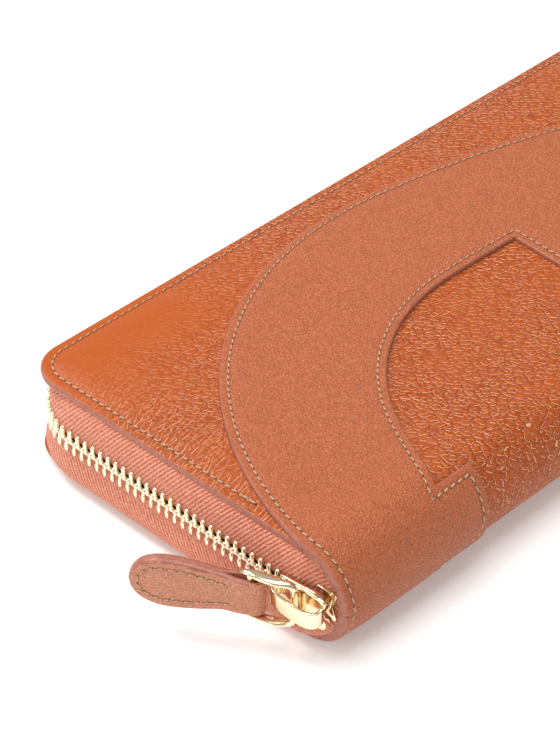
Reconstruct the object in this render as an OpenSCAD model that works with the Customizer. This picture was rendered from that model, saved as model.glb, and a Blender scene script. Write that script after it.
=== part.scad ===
// Long zip around wallet, lying closed on its back cover.
// X runs along the spine, the spine is on the -Y side and the zip's long side is on +Y.
// The zip slider and its leather pull sit at the -X end, beside the spine.
// Z is up, and the back overlay rests on Z = 0.

/* [Wallet] */
// Length along the spine
wallet_l = 196; // [186:1:206]
// Depth from the outside of the spine to the zip edge of the covers
wallet_w = 100; // [96:1:106]
// Thickness of the closed wallet over the grained leather, without the overlays
body_t = 23.6; // [23.6:0.1:25]
// Radius of the two outer corners of each cover
corner_r = 10; // [8:0.5:12]

/* [Layers] */
// Thickness of the outer leather
leather_t = 1.2; // [1:0.1:1.4]
// Thickness of the smooth overlay leather
overlay_t = 1.2; // [1:0.1:1.4]
// Thickness of the foam padding under the leather
foam_t = 1; // [0.6:0.1:1]
// Thickness of the stiffener board
board_t = 0.7; // [0.5:0.1:0.7]
// Thickness of the lining and of each layer of a card panel
lining_t = 0.4; // [0.3:0.05:0.4]

/* [Overlay panel] */
// Radius of the overlay's outer edge
overlay_r = 89.2; // [89:0.1:90]
// Radius of the rounded side of the overlay's window
window_r = 52.2; // [50:0.2:54]
// Distance from the slider end of the wallet to the centre of both curves
overlay_centre = 88; // [87.5:0.1:88]
// Distance from the slider end of the wallet to the window's straight side
window_end = 111; // [108:1:120]
// How far the band round the spine steps into the window
step_l = 8.5; // [6:0.5:10]

/* [Zip] */
// Spacing of the teeth in each row
tooth_pitch = 2.45; // [2.4:0.05:2.8]
// Corner radius of the zip's path, at the edge of the covers
zip_r = 18; // [17:0.5:20]
// Centre of the parked slider, measured from the wallet's mid-depth line towards the spine
slider_park = 39; // [38.5:0.25:39]
// Length of the slider's two plates
slider_l = 14.4; // [12:0.2:14.4]

/* [Pull] */
// Distance from the crown bar to the pull pin
bail_l = 9.8; // [9.8:0.2:12]
// Angle of the bail away from the zip, as it lies at rest
bail_deg = 22; // [18:1:30]
// Length of the leather tab from the pin to its tip
tab_l = 26; // [24:1:32]
// Height of the leather tab at its widest
tab_h = 14; // [12:0.5:15]
// Thickness of the leather tab
tab_t = 3; // [2.4:0.2:3.2]
// Angle of the tab away from the zip, as it lies at rest
tab_deg = 30; // [25:1:40]

/* [Inside] */
// Length of the card panels
panel_l = 168; // [150:1:168]
// Width of the coin pocket's opening between its walls
coin_gap = 3; // [2.6:0.1:3]

/* [Hidden] */
$fn = 64;

// Places shared by every part
half_t = body_t / 2;
mid_z = overlay_t + half_t;
end_x = wallet_l / 2;
zip_y = wallet_w / 2;
spine_y = -zip_y + overlay_t + half_t;
fold_r = half_t + overlay_t;
split_deg = 135;
gap_deg = 0.7;

// Height above the mid plane of each layer's outer face, from the leather inwards
foam_w = half_t - leather_t;
board_w = foam_w - foam_t;
lining_w = board_w - board_t;
inside_w = lining_w - lining_t;
layer_inset = 2.6;

// The zip, measured outwards from the covers' edge and up from the mid plane
tooth_in = 0.5;
tooth_out = 2.3;
tooth_low = 0.45;
tooth_high = 2.9;
tooth_l = 1;
slider_half_w = 4.2;
plate_t = 0.9;
plate_out = tooth_out + 0.3;
plate_in = -0.9;
web_t = 0.3;
crown_gap = 2.6;
crown_t = 1;
crown_w = 4;
slider_y = -slider_park;

// The pull
bail_bar_r = 0.8;
bail_bar_out = plate_out + plate_t + 1.5;
bail_inner = 5.9;
bail_arm_t = 1.4;
pin_r = 1;
tab_bore_r = pin_r + 0.06;
loop_r = 2.3;
neck_h = 11.2;
pin_out = bail_bar_out + bail_l * sin(bail_deg);
pin_y = slider_y + bail_l * cos(bail_deg);
pull_reach = pin_out + tab_l * sin(tab_deg) + tab_t / 2 * cos(tab_deg);

// Inside: card panels, coin pocket and bill compartments
wall_t = 0.5;
coin_wall_w = coin_gap / 2 + wall_t;
panel_w = coin_wall_w + 0.3;
panel_y0 = spine_y + 2;
panel_y1 = 42;
tier_step = 12;
tier_top = 34;
backing_w = panel_w + 4 * lining_t;
gusset_x = 94;
gusset_depth = 8.5;
coin_y0 = -44;
coin_y1 = 36;
coin_slider_x = -70;

// The whole wallet is moved so that the origin is the bottom centre of its box
shift_x = (pull_reach - tooth_out) / 2;
shift_y = -tooth_out / 2;

module placed() {
    translate([shift_x, shift_y, 0])
        children();
}

// Everything in a cover is drawn above the mid plane: the back cover is its mirror image
module front_half() {
    placed()
        translate([0, 0, mid_z])
            children();
}

module back_half() {
    placed()
        translate([0, 0, mid_z])
            mirror([0, 0, 1])
                children();
}

// Flat outline of a cover layer: square at the spine, round at the two zip corners
module cover_outline(inset, radius, y0) {
    x1 = end_x - inset;
    y1 = zip_y - inset;
    translate([-x1, y0])
        square([2 * x1, y1 - radius - y0]);
    translate([-x1 + radius, y0])
        square([2 * (x1 - radius), y1 - y0]);
    for (side = [-1, 1])
        translate([side * (x1 - radius), y1 - radius])
            circle(radius);
}

module layer(top, thickness, inset, radius, y0) {
    translate([0, 0, top - thickness])
        linear_extrude(thickness)
            cover_outline(inset, radius, y0);
}

// Part of the half-round spine, from angle a0 to a1, measured from +Y through +Z
module spine_arc(r0, r1, a0, a1, x0, x1) {
    translate([x0, spine_y, 0])
        rotate([0, 90, 0])
            rotate([0, 0, 90 + a0])
                rotate_extrude(angle = a1 - a0)
                    translate([r0, 0])
                        square([r1 - r0, x1 - x0]);
}

// Box given by its low and high corners
module box(low, high) {
    translate(low)
        cube(high - low);
}

// ---- Covers ----

module cover_leather() {
    layer(half_t, leather_t, 0, corner_r, spine_y);
    spine_arc(foam_w, half_t, 90, split_deg - gap_deg, -end_x, end_x);
}

module inner_layer(top, thickness) {
    layer(top, thickness, layer_inset, zip_r - layer_inset, spine_y + 0.5);
}

// Where the overlay's curves are, measured from the wallet's centre
ov_x = overlay_centre - end_x;
ov_y = -49.9;
flat_deg = 8;
flat_r = 300;
joint_x = ov_x + overlay_r * sin(flat_deg);
joint_y = ov_y + overlay_r * cos(flat_deg);
window_x0 = ov_x - sqrt(pow(window_r, 2) - pow(spine_y - ov_y, 2));
window_x1 = window_end - end_x;
window_top = ov_y + window_r;

function arc_points(centre, r, a0, a1, n) =
    [for (i = [1 : n]) centre + r * [cos(a0 + (a1 - a0) * i / n), sin(a0 + (a1 - a0) * i / n)]];

// Outer outline of the overlay: a round arch that runs out into a flatter curve
module overlay_outline() {
    flat_centre = [joint_x - flat_r * sin(flat_deg), joint_y - flat_r * cos(flat_deg)];
    arch_start = acos((-end_x - ov_x) / overlay_r);
    flat_end = acos((end_x - flat_centre.x) / flat_r);
    polygon(concat(
        [[end_x, spine_y], [-end_x, spine_y], [-end_x, ov_y + overlay_r * sin(arch_start)]],
        arc_points([ov_x, ov_y], overlay_r, arch_start, 90 - flat_deg, 30),
        arc_points(flat_centre, flat_r, 90 - flat_deg, flat_end, 10)
    ));
}

// The window in a cover: round on the slider's side and straight on the other.
// Below y_step the band round the spine steps in on both sides.
module window_cut(y_step) {
    start = 180 - asin((y_step - ov_y) / window_r);
    translate([0, 0, half_t - 20])
        linear_extrude(40)
            polygon(concat(
                [[window_x1, y_step], [ov_x - window_r * cos(180 - start), y_step]],
                arc_points([ov_x, ov_y], window_r, start, 90, 20),
                [[window_x1, window_top]]
            ));
    box([window_x0 + step_l, -zip_y - 5, -1], [window_x1 - step_l, spine_y - 1, 20]);
}

module cover_overlay(y_step) {
    difference() {
        union() {
            translate([0, 0, half_t])
                linear_extrude(overlay_t)
                    overlay_outline();
            spine_arc(half_t, fold_r, 90, split_deg - gap_deg, -end_x, end_x);
        }
        window_cut(y_step);
    }
}

module front_leather() {
    color("chocolate") front_half() cover_leather();
}

module back_leather() {
    color("chocolate") back_half() cover_leather();
}

module front_foam() {
    color("khaki") front_half() inner_layer(foam_w, foam_t);
}

module back_foam() {
    color("khaki") back_half() inner_layer(foam_w, foam_t);
}

module front_board() {
    color("tan") front_half() inner_layer(board_w, board_t);
}

module back_board() {
    color("tan") back_half() inner_layer(board_w, board_t);
}

module front_lining() {
    color("rosybrown") front_half() inner_layer(lining_w, lining_t);
}

module back_lining() {
    color("rosybrown") back_half() inner_layer(lining_w, lining_t);
}

module front_overlay() {
    color("peru") front_half() cover_overlay(spine_y - fold_r / 2);
}

module back_overlay() {
    color("peru") back_half() cover_overlay(spine_y - fold_r);
}

// ---- Spine ----

module spine_leather() {
    color("chocolate") front_half()
        spine_arc(foam_w, half_t, split_deg + gap_deg, 360 - split_deg - gap_deg, -end_x, end_x);
}

module spine_lining() {
    color("rosybrown") front_half()
        spine_arc(foam_w - 0.6, foam_w, split_deg + gap_deg, 360 - split_deg - gap_deg,
            -end_x + 3, end_x - 3);
}

// The band round the spine stays narrow down to step_low below the mid plane
module spine_overlay() {
    step_low = 5.9;
    reach_y = -zip_y - 5;
    color("peru") front_half()
        difference() {
            spine_arc(half_t, fold_r, split_deg + gap_deg, 360 - split_deg - gap_deg,
                -end_x, end_x);
            box([window_x0 + step_l, reach_y, -20], [window_x1 - step_l, spine_y, 20]);
            box([window_x0, reach_y, -20], [window_x1, spine_y, -step_low]);
        }
}

// ---- Zip ----

// Sweeps a section round the short side, the long side and the other short side.
// In the section, X is the distance outwards from the covers' edge and Y is the height.
module round_three_sides(y_end) {
    translate([-end_x + zip_r, zip_y, 0])
        rotate([90, 0, 90])
            linear_extrude(wallet_l - 2 * zip_r)
                children();
    for (side = [0, 1])
        mirror([side, 0, 0]) {
            translate([end_x, zip_y - zip_r, 0])
                rotate([90, 0, 0])
                    linear_extrude(zip_y - zip_r - y_end)
                        children();
            translate([end_x - zip_r, zip_y - zip_r, 0])
                rotate_extrude(angle = 90)
                    translate([zip_r, 0])
                        children();
        }
}

// The tape hangs from the leather's underside and bulges outwards towards the teeth
module tape_section() {
    polygon([
        [-1, foam_w], [0.9, 8], [1.7, 5], [1.7, tooth_high],
        [0.9, tooth_high], [0.9, 5], [0.1, 8], [-1.8, foam_w]
    ]);
}

module tooth() {
    translate([tooth_in, -tooth_l / 2, tooth_low])
        cube([tooth_out - tooth_in, tooth_l, tooth_high - tooth_low]);
}

// One row of separate teeth; offset moves the row along by a part of the pitch
module tooth_row(offset) {
    straight = zip_y - zip_r - spine_y - 3;
    n_short = floor(straight / tooth_pitch);
    n_long = floor((wallet_l - 2 * zip_r) / tooth_pitch);
    n_corner = 12;
    long_pitch = (wallet_l - 2 * zip_r) / n_long;
    short_pitch = straight / n_short;
    for (side = [0, 1])
        mirror([side, 0, 0]) {
            for (i = [0 : n_short - 1])
                translate([end_x, zip_y - zip_r - (i + offset) * short_pitch, 0])
                    tooth();
            for (i = [0 : n_corner - 1])
                translate([end_x - zip_r, zip_y - zip_r, 0])
                    rotate([0, 0, (i + 1 - offset) * 90 / n_corner])
                        translate([zip_r, 0, 0])
                            tooth();
        }
    for (i = [0 : n_long - 1])
        translate([-end_x + zip_r + (i + offset) * long_pitch, zip_y, 0])
            rotate([0, 0, 90])
                tooth();
}

module top_stop() {
    box([-end_x - tooth_out, spine_y, tooth_low], [-end_x - tooth_in, spine_y + 1.4, tooth_high]);
}

module front_zip_tape() {
    color("indianred") front_half() round_three_sides(spine_y) tape_section();
}

module back_zip_tape() {
    color("indianred") back_half() round_three_sides(spine_y) tape_section();
}

module front_zip_teeth() {
    color("gold") front_half() tooth_row(0.25);
}

module back_zip_teeth() {
    color("gold") back_half() tooth_row(0.75);
}

module front_top_stop() {
    color("gold") front_half() top_stop();
}

module back_top_stop() {
    color("gold") back_half() top_stop();
}

module zip_bottom_stop() {
    color("gold") back_half()
        box([end_x + tooth_in, spine_y, 0.2], [end_x + tooth_out, spine_y + 1.6, tooth_high]);
}

// Slider at its parked place: u is outwards from the covers' edge, on the -X side
module slider_box(u0, u1, y0, y1, w) {
    box([-end_x - u1, slider_y + y0, -w], [-end_x - u0, slider_y + y1, w]);
}

module slider_plate(u0) {
    half_l = slider_l / 2;
    slider_box(u0, u0 + plate_t, -half_l, half_l - 2, slider_half_w);
    slider_box(u0, u0 + plate_t, half_l - 2.01, half_l, slider_half_w - 0.8);
}

module zip_slider() {
    half_l = slider_l / 2;
    crown_u = plate_out + plate_t + crown_gap;
    color("gold") front_half() {
        slider_plate(plate_in);
        slider_plate(plate_out);
        slider_box(plate_in, plate_out + plate_t, -half_l, -half_l + 2.5, web_t / 2);
        slider_box(plate_out, crown_u + crown_t, -half_l + 0.2, -half_l + 1.4, crown_w / 2);
        slider_box(plate_out, crown_u + crown_t, half_l - 1.8, half_l - 0.7, crown_w / 2);
        slider_box(crown_u, crown_u + crown_t, -half_l + 0.2, half_l - 0.7, crown_w / 2);
    }
}

// ---- Pull ----

module at_bail_bar() {
    front_half()
        translate([-end_x - bail_bar_out, slider_y, 0])
            children();
}

module at_pin() {
    front_half()
        translate([-end_x - pin_out, pin_y, 0])
            children();
}

module bail_arm() {
    translate([0, 0, bail_inner]) {
        cylinder(r = 1.4, h = bail_arm_t);
        rotate([0, 0, bail_deg])
            translate([-1.1, 0, 0])
                cube([2.2, bail_l, bail_arm_t]);
        rotate([0, 0, bail_deg])
            translate([0, bail_l, 0])
                cylinder(r = 1.7, h = bail_arm_t);
    }
}

module pull_bail() {
    color("gold") at_bail_bar() {
        cylinder(r = bail_bar_r, h = 2 * bail_inner + 0.2, center = true);
        for (side = [0, 1])
            mirror([0, 0, side])
                bail_arm();
    }
}

module pull_pin() {
    color("goldenrod") at_pin()
        cylinder(r = pin_r, h = 2 * bail_inner, center = true);
}

// Leaf outline of the tab: X runs from the pin to the tip, Y is its height
module tab_outline() {
    middle = tab_l / 2 + 1;
    reach = tab_l - middle + 1.5;
    side_r = (pow(reach, 2) + pow(tab_h / 2, 2)) / tab_h;
    tip_r = 3.8;
    intersection() {
        translate([middle, side_r - tab_h / 2])
            circle(side_r, $fn = 96);
        translate([middle, tab_h / 2 - side_r])
            circle(side_r, $fn = 96);
        translate([0, -tab_h])
            square([tab_l - 1.6, 2 * tab_h]);
    }
    translate([tab_l - tip_r, 0])
        circle(tip_r);
    translate([0, -neck_h / 2])
        square([tab_l * 0.36, neck_h]);
}

module pull_tab() {
    color("peru") at_pin()
        difference() {
            union() {
                cylinder(r = loop_r, h = neck_h, center = true);
                rotate([0, 0, 90 + tab_deg])
                    translate([0, tab_t / 2, 0])
                        rotate([90, 0, 0])
                            linear_extrude(tab_t)
                                tab_outline();
            }
            cylinder(r = tab_bore_r, h = neck_h + 2, center = true);
        }
}

// ---- Inside ----

module panel_strip(base, y_top) {
    box([-panel_l / 2, panel_y0, base], [panel_l / 2, y_top, base + lining_t]);
}

module bill_base() {
    box([-panel_l / 2, panel_y0, backing_w], [panel_l / 2, panel_y0 + 0.8, inside_w]);
}

// Folded bellows between a cover's lining and the coin pocket
module gusset() {
    fold_x = gusset_x - gusset_depth;
    low = coin_wall_w + 0.3;
    fold_w = (low + inside_w) / 2;
    translate([0, 38, 0])
        rotate([90, 0, 0])
            linear_extrude(38 - panel_y0)
                polygon([
                    [gusset_x, inside_w], [fold_x, fold_w], [gusset_x, low],
                    [gusset_x, low + 0.5], [fold_x + 1.4, fold_w], [gusset_x, inside_w - 0.5]
                ]);
}

module front_card_backing() {
    color("sienna") front_half() panel_strip(backing_w - lining_t, panel_y1);
}

module front_card_tier_upper() {
    color("peru") front_half() panel_strip(panel_w + 2 * lining_t, tier_top);
}

module front_card_tier_middle() {
    color("sienna") front_half() panel_strip(panel_w + lining_t, tier_top - tier_step);
}

module front_card_tier_lower() {
    color("peru") front_half() panel_strip(panel_w, tier_top - 2 * tier_step);
}

module back_card_backing() {
    color("sienna") back_half() panel_strip(backing_w - lining_t, panel_y1);
}

module back_card_tier_upper() {
    color("peru") back_half() panel_strip(panel_w + 2 * lining_t, tier_top);
}

module back_card_tier_middle() {
    color("sienna") back_half() panel_strip(panel_w + lining_t, tier_top - tier_step);
}

module back_card_tier_lower() {
    color("peru") back_half() panel_strip(panel_w, tier_top - 2 * tier_step);
}

module front_bill_base() {
    color("sienna") front_half() bill_base();
}

module back_bill_base() {
    color("sienna") back_half() bill_base();
}

module front_gusset_right() {
    color("rosybrown") front_half() gusset();
}

module front_gusset_left() {
    color("rosybrown") front_half() mirror([1, 0, 0]) gusset();
}

module back_gusset_right() {
    color("rosybrown") back_half() gusset();
}

module back_gusset_left() {
    color("rosybrown") back_half() mirror([1, 0, 0]) gusset();
}

module coin_wall() {
    box([-gusset_x, coin_y0, coin_gap / 2], [gusset_x, coin_y1, coin_wall_w]);
}

module coin_pocket_front_wall() {
    color("sienna") front_half() coin_wall();
}

module coin_pocket_back_wall() {
    color("sienna") back_half() coin_wall();
}

module coin_pocket_base() {
    color("sienna") front_half()
        box([-gusset_x, coin_y0, -coin_gap / 2], [gusset_x, coin_y0 + 0.8, coin_gap / 2]);
}

module coin_pocket_side_strips() {
    color("sienna") front_half()
        for (side = [0, 1])
            mirror([side, 0, 0])
                box([gusset_x - 0.8, coin_y0 + 0.8, -coin_gap / 2], [gusset_x, coin_y1, coin_gap / 2]);
}

coin_teeth_x = 80;
coin_teeth_y1 = coin_y1 + 2;

module coin_zip_tapes() {
    color("indianred") front_half()
        for (side = [0, 1])
            mirror([0, 0, side])
                box([-gusset_x, coin_y1, coin_gap / 2], [gusset_x, coin_teeth_y1 - 0.4, coin_wall_w]);
}

module coin_zip_teeth() {
    pitch = 2.5;
    n = floor(2 * coin_teeth_x / pitch);
    color("gold") front_half()
        for (side = [0, 1])
            mirror([0, 0, side])
                for (i = [0 : n - 1])
                    translate([-coin_teeth_x + (i + side / 2) * pitch, coin_y1 + 0.2, 0.45])
                        cube([0.9, 1.6, coin_gap / 2 - 0.45]);
}

module coin_slider() {
    x0 = coin_slider_x - 4;
    x1 = coin_slider_x + 4;
    top_y = coin_teeth_y1 + 0.3;
    color("gold") front_half() {
        box([x0, top_y, -coin_wall_w], [x1, top_y + 0.8, coin_wall_w]);
        box([x0, coin_y1 - 1, -coin_gap / 2 + 0.3], [x1, coin_y1 - 0.2, coin_gap / 2 - 0.3]);
        box([x0, coin_y1 - 1, -0.15], [x0 + 1.5, top_y + 0.8, 0.15]);
        for (x = [x0, x0 + 4])
            box([x, top_y, -0.8], [x + 0.8, top_y + 3, 0.8]);
        box([x0, top_y + 2.4, -0.8], [x0 + 4.8, top_y + 3, 0.8]);
    }
}

module coin_pull() {
    hinge_x = coin_slider_x - 1.6;
    hinge_y = coin_teeth_y1 + 0.3 + 1.6;
    color("goldenrod") front_half()
        translate([hinge_x, hinge_y, 0]) {
            cylinder(r = 0.5, h = 3.6, center = true);
            for (side = [-1, 1])
                translate([-0.5, -0.5, side * 1.5 - 0.3])
                    cube([9, 1, 0.6]);
            translate([4.6, -0.5, -1.8])
                cube([14, 1, 3.6]);
        }
}

front_leather();
front_foam();
front_board();
front_lining();
front_overlay();
front_zip_tape();
front_zip_teeth();
front_top_stop();
front_card_backing();
front_card_tier_upper();
front_card_tier_middle();
front_card_tier_lower();
front_bill_base();
front_gusset_left();
front_gusset_right();
spine_leather();
spine_lining();
spine_overlay();
coin_pocket_front_wall();
coin_pocket_back_wall();
coin_pocket_base();
coin_pocket_side_strips();
coin_zip_tapes();
coin_zip_teeth();
coin_slider();
coin_pull();
back_leather();
back_foam();
back_board();
back_lining();
back_overlay();
back_zip_tape();
back_zip_teeth();
back_top_stop();
zip_bottom_stop();
back_card_backing();
back_card_tier_upper();
back_card_tier_middle();
back_card_tier_lower();
back_bill_base();
back_gusset_left();
back_gusset_right();
zip_slider();
pull_bail();
pull_pin();
pull_tab();
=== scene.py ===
import math
import bpy
import numpy as np
from mathutils import Matrix, Vector
from mathutils.geometry import delaunay_2d_cdt


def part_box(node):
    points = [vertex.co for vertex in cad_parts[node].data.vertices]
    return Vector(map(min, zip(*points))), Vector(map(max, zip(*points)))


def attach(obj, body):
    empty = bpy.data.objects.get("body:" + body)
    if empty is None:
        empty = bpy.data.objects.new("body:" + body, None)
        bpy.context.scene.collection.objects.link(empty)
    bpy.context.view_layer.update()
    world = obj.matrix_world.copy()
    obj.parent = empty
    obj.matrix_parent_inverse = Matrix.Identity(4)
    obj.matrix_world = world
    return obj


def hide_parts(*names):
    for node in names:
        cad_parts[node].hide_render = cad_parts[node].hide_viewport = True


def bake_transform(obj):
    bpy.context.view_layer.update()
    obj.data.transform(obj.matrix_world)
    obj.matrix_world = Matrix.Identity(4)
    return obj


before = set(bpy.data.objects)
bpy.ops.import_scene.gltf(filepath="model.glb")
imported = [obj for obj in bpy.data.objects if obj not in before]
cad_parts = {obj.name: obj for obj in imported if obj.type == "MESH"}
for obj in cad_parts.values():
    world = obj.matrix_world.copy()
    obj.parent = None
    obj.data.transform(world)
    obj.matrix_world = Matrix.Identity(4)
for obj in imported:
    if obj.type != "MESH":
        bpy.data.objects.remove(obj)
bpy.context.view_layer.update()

# Every place below is in millimetres in the wallet's own frame: X from the middle of its
# length, Y from the middle of its depth and Z up from what it rests on. The values come from
# the boxes of the CAD nodes. END_X and ZIP_Y are the covers' edges, MID is the height of the
# zip, HALF is from there to the grained leather and SPINE_Y is where the spine's bend starts.
MM = 0.001
leather_low, leather_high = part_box("front_leather")
shell_low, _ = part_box("spine_overlay")
_, overlay_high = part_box("front_overlay")
rest_low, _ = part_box("back_overlay")
SHIFT_X = (leather_low.x + leather_high.x) / 2 / MM
SHIFT_Y = (leather_high.y + shell_low.y) / 2 / MM
END_X = (leather_high.x - leather_low.x) / 2 / MM
ZIP_Y = leather_high.y / MM - SHIFT_Y
MID = (overlay_high.z + rest_low.z) / 2 / MM
HALF = leather_high.z / MM - MID
OVERLAY = (overlay_high.z - leather_high.z) / MM
SPINE_Y = -ZIP_Y + OVERLAY + HALF
DEPTH = ZIP_Y - SPINE_Y
SEAM = -HALF * math.pi / 2

# Leather thickness, the covers' corner radius, and the stitching's distance from the edges
LEATHER = 1.2
CORNER = 10
BORDER_STITCH = 2.6
OVERLAY_STITCH = 2.0
STITCH_PITCH = 2.15

# The zip tape's ribs: their pitch along the tape and how they slant across it
RIB_PITCH = 1.1
RIB_SLANT = 0.8


def smooth(value, low, high):
    """Smooth step from 0 at low to 1 at high."""
    t = np.clip((np.asarray(value, float) - low) / (high - low), 0, 1)
    return t * t * (3 - 2 * t)


# ---- Camera, floor and light ----

def place_camera():
    azimuth = math.radians(-45.917)
    elevation = math.radians(38.317)
    roll = math.radians(0.412)
    right = Vector((math.cos(azimuth), math.sin(azimuth), 0))
    back = Vector((
        math.sin(azimuth) * math.cos(elevation),
        -math.cos(azimuth) * math.cos(elevation),
        math.sin(elevation)))
    up = back.cross(right)
    side = right * math.cos(roll) + up * math.sin(roll)
    top = up * math.cos(roll) - right * math.sin(roll)
    place = Vector((-0.40829, -0.34126, 0.41849))
    camera = bpy.data.objects.new("camera", bpy.data.cameras.new("camera"))
    bpy.context.collection.objects.link(camera)
    turn = Matrix((side, top, back)).transposed().to_4x4()
    camera.matrix_world = Matrix.Translation(place) @ turn
    camera.data.lens = 138.9
    camera.data.sensor_width = 36
    camera.data.clip_start = 0.01
    bpy.context.scene.camera = camera


def area_light(name, place, aim, size, watts):
    light = bpy.data.lights.new(name, "AREA")
    light.shape = "RECTANGLE"
    light.size = size[0]
    light.size_y = size[1]
    light.energy = watts
    lamp = bpy.data.objects.new(name, light)
    lamp.location = place
    lamp.rotation_euler = (Vector(aim) - Vector(place)).to_track_quat("-Z", "Y").to_euler()
    bpy.context.collection.objects.link(lamp)


def light_scene():
    world_shade = bpy.data.worlds.new("studio")
    world_shade.use_nodes = True
    back = world_shade.node_tree.nodes["Background"]
    back.inputs["Color"].default_value = (1, 1, 1, 1)
    back.inputs["Strength"].default_value = 0.46
    bpy.context.scene.world = world_shade
    area_light("key_from_behind", (-0.2, 0.8, 0.95), (0, 0, 0.02), (0.6, 0.4), 7)
    area_light("top_softbox", (0.0, 0.0, 1.25), (0, 0, 0), (0.8, 0.8), 8.5)
    area_light("end_fill", (-0.95, 0.1, 0.5), (-0.05, 0, 0.02), (0.6, 0.4), 2)
    bpy.context.scene.view_settings.view_transform = "Standard"


# ---- Node helpers ----

class Shade:
    """A material's node tree with short calls for the nodes used here."""

    def __init__(self, name):
        self.material = bpy.data.materials.new(name)
        self.material.use_nodes = True
        self.tree = self.material.node_tree
        self.shader = self.tree.nodes["Principled BSDF"]

    def feed(self, socket, value):
        if isinstance(value, bpy.types.NodeSocket):
            self.tree.links.new(value, socket)
        elif isinstance(value, tuple) and len(value) == 3 and socket.type == "RGBA":
            socket.default_value = (*value, 1)
        else:
            socket.default_value = value

    def add(self, kind, settings=None, **inputs):
        node = self.tree.nodes.new(kind)
        for key, value in (settings or {}).items():
            setattr(node, key, value)
        for key, value in inputs.items():
            self.feed(node.inputs[key.replace("_", " ")], value)
        return node

    def math(self, operation, a, b=0.0, c=0.0):
        node = self.add("ShaderNodeMath", {"operation": operation})
        self.feed(node.inputs[0], a)
        self.feed(node.inputs[1], b)
        self.feed(node.inputs[2], c)
        return node.outputs[0]

    def millimetres(self, stretch=(1, 1, 1)):
        """Object coordinates in millimetres, stretched along the axes."""
        place = self.add("ShaderNodeTexCoord").outputs["Object"]
        scale = tuple(value / MM for value in stretch)
        return self.add("ShaderNodeMapping", Vector=place, Scale=scale).outputs[0]

    def turned(self, long, wide, degrees):
        """Coordinates whose unit is long by wide millimetres, turned about Z."""
        place = self.add("ShaderNodeTexCoord").outputs["Object"]
        mapping = self.add("ShaderNodeMapping", {"vector_type": "TEXTURE"}, Vector=place,
                           Scale=(long * MM, wide * MM, wide * MM),
                           Rotation=(0, 0, math.radians(degrees)))
        return mapping.outputs[0]

    def noise(self, vector, scale, detail=2.0, roughness=0.5):
        node = self.add("ShaderNodeTexNoise", Vector=vector, Scale=scale, Detail=detail,
                        Roughness=roughness)
        return node.outputs["Fac"]

    def cells(self, vector, scale, feature="DISTANCE_TO_EDGE"):
        node = self.add("ShaderNodeTexVoronoi", {"feature": feature}, Vector=vector,
                        Scale=scale)
        return node.outputs["Distance"]

    def band(self, value, low, high, out_low=0.0, out_high=1.0):
        node = self.add("ShaderNodeMapRange", {"interpolation_type": "SMOOTHSTEP"})
        self.feed(node.inputs["Value"], value)
        self.feed(node.inputs["From Min"], low)
        self.feed(node.inputs["From Max"], high)
        self.feed(node.inputs["To Min"], out_low)
        self.feed(node.inputs["To Max"], out_high)
        return node.outputs["Result"]

    def mix(self, factor, a, b):
        node = self.add("ShaderNodeMix", {"data_type": "RGBA"})
        self.feed(node.inputs[0], factor)
        self.feed(node.inputs[6], a)
        self.feed(node.inputs[7], b)
        return node.outputs[2]

    def shift(self, vector, amount, scale):
        """The vector pushed about by a colour noise, so that cells are irregular."""
        push = self.add("ShaderNodeTexNoise", Vector=vector, Scale=scale, Detail=2.0)
        centred = self.add("ShaderNodeVectorMath", {"operation": "SUBTRACT"})
        self.feed(centred.inputs[0], push.outputs["Color"])
        centred.inputs[1].default_value = (0.5, 0.5, 0.5)
        moved = self.add("ShaderNodeVectorMath", {"operation": "MULTIPLY_ADD"})
        self.feed(moved.inputs[0], centred.outputs[0])
        moved.inputs[1].default_value = (amount, amount, amount)
        self.feed(moved.inputs[2], vector)
        return moved.outputs[0]

    def crease(self, vector, edge):
        """Thin lines on the cells' borders that run along the vector's X axis, the ones that
        catch the light from behind; the colour paints them pale as highlights.
        """
        ahead = self.add("ShaderNodeVectorMath", {"operation": "ADD"})
        self.feed(ahead.inputs[0], vector)
        ahead.inputs[1].default_value = (0.0, 0.16, 0.0)
        level = self.band(self.cells(ahead.outputs[0], 1.0), 0.05, 0.13)
        return self.math("MULTIPLY", self.band(edge, 0.13, 0.03), level)

    def bump(self, height, depth, strength=1.0):
        """Bump with its depth in millimetres."""
        node = self.add("ShaderNodeBump", Height=height, Distance=depth * MM,
                        Strength=strength)
        return node.outputs[0]

    def finish(self, colour, roughness, normal=None, **sockets):
        self.feed(self.shader.inputs["Base Color"], colour)
        self.feed(self.shader.inputs["Roughness"], roughness)
        if normal is not None:
            self.feed(self.shader.inputs["Normal"], normal)
        for key, value in sockets.items():
            self.feed(self.shader.inputs[key.replace("_", " ")], value)
        return self.material


# ---- Materials ----

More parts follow.
